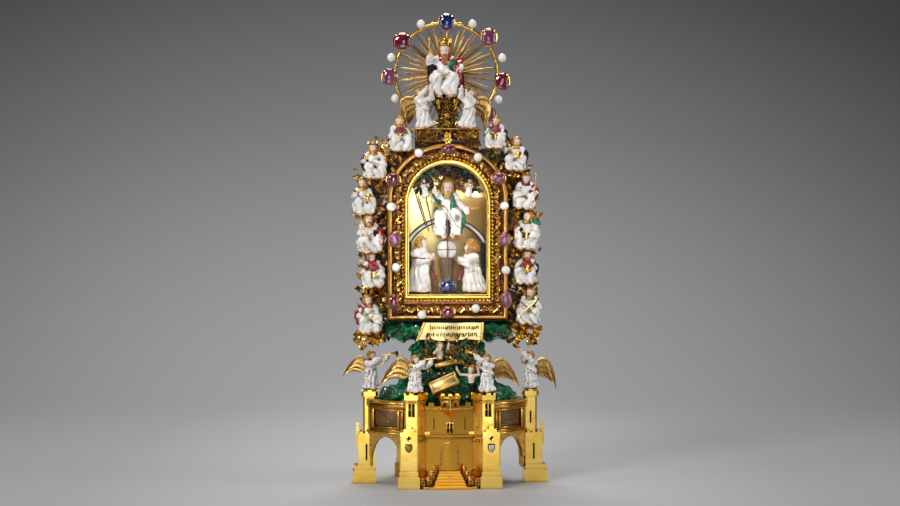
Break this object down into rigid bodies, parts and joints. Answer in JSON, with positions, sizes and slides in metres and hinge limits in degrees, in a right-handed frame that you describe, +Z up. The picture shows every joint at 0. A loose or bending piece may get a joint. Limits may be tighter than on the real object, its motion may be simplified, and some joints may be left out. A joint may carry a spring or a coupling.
{
  "type": "reliquary casket",
  "caption": "Standing gold reliquary: a castle base, an enamelled hill with angels, an arched case with a crystal window and a gem-set crest of rays.",
  "frame": {"origin": "on the surface it stands on, at the middle of the castle's footprint", "axes": "+Z up, -Y towards the viewer of the crystal window, +X to that viewer's right"},
  "size_m": [0.1381, 0.0812, 0.3055],
  "materials": {
    "gold": "polished",
    "old_gold": "satin",
    "white_enamel": "gloss",
    "green_enamel": "gloss",
    "dark_enamel": "gloss",
    "ruby": "polished",
    "sapphire": "polished",
    "crystal": "polished",
    "thorn": "matte"
  },
  "bodies": {
    "root": {"castle": "gold", "enamel_panel_right": "dark_enamel", "enamel_panel_left": "dark_enamel", "shield_left": "gold", "shield_right": "gold", "hill": "green_enamel", "tomb_lower": "gold", "tomb_upper": "gold", "risen_upper": "white_enamel", "risen_right": "white_enamel", "scroll": "gold", "case": "gold", "border": "old_gold", "bezel": "gold", "crystal_window": "crystal", "trumpeter_outer_left": "white_enamel", "trumpeter_inner_left": "white_enamel", "trumpeter_inner_right": "white_enamel", "trumpeter_outer_right": "white_enamel", "saint_left_1": "white_enamel", "saint_left_2": "white_enamel", "saint_left_3": "white_enamel", "saint_left_4": "white_enamel", "saint_left_5": "white_enamel", "saint_left_6": "white_enamel", "saint_right_1": "white_enamel", "saint_right_2": "white_enamel", "saint_right_3": "white_enamel", "saint_right_4": "white_enamel", "saint_right_5": "white_enamel", "saint_right_6": "white_enamel", "oak_spray_left": "old_gold", "oak_spray_right": "old_gold", "globe_on_pillar": "white_enamel", "rainbow": "white_enamel", "judge": "white_enamel", "mourner_left": "white_enamel", "mourner_right": "white_enamel", "sapphire_foot": "sapphire", "thorn": "thorn", "crest_gallery": "old_gold", "sunburst": "gold", "enthroned_father": "white_enamel", "crest_angel_left": "white_enamel", "crest_angel_right": "white_enamel", "ruby_top": "ruby", "ruby_upper_left": "ruby", "ruby_upper_right": "ruby", "ruby_middle_left": "ruby", "ruby_middle_right": "ruby", "ruby_lower_left": "ruby", "ruby_lower_right": "ruby", "ruby_bottom": "ruby", "sapphire_top": "sapphire", "ruby_ring_upper_left": "ruby", "ruby_ring_upper_right": "ruby", "ruby_ring_middle_left": "ruby", "ruby_ring_middle_right": "ruby", "ruby_ring_lower_left": "ruby", "ruby_ring_lower_right": "ruby"}
  },
  "joints": []
}
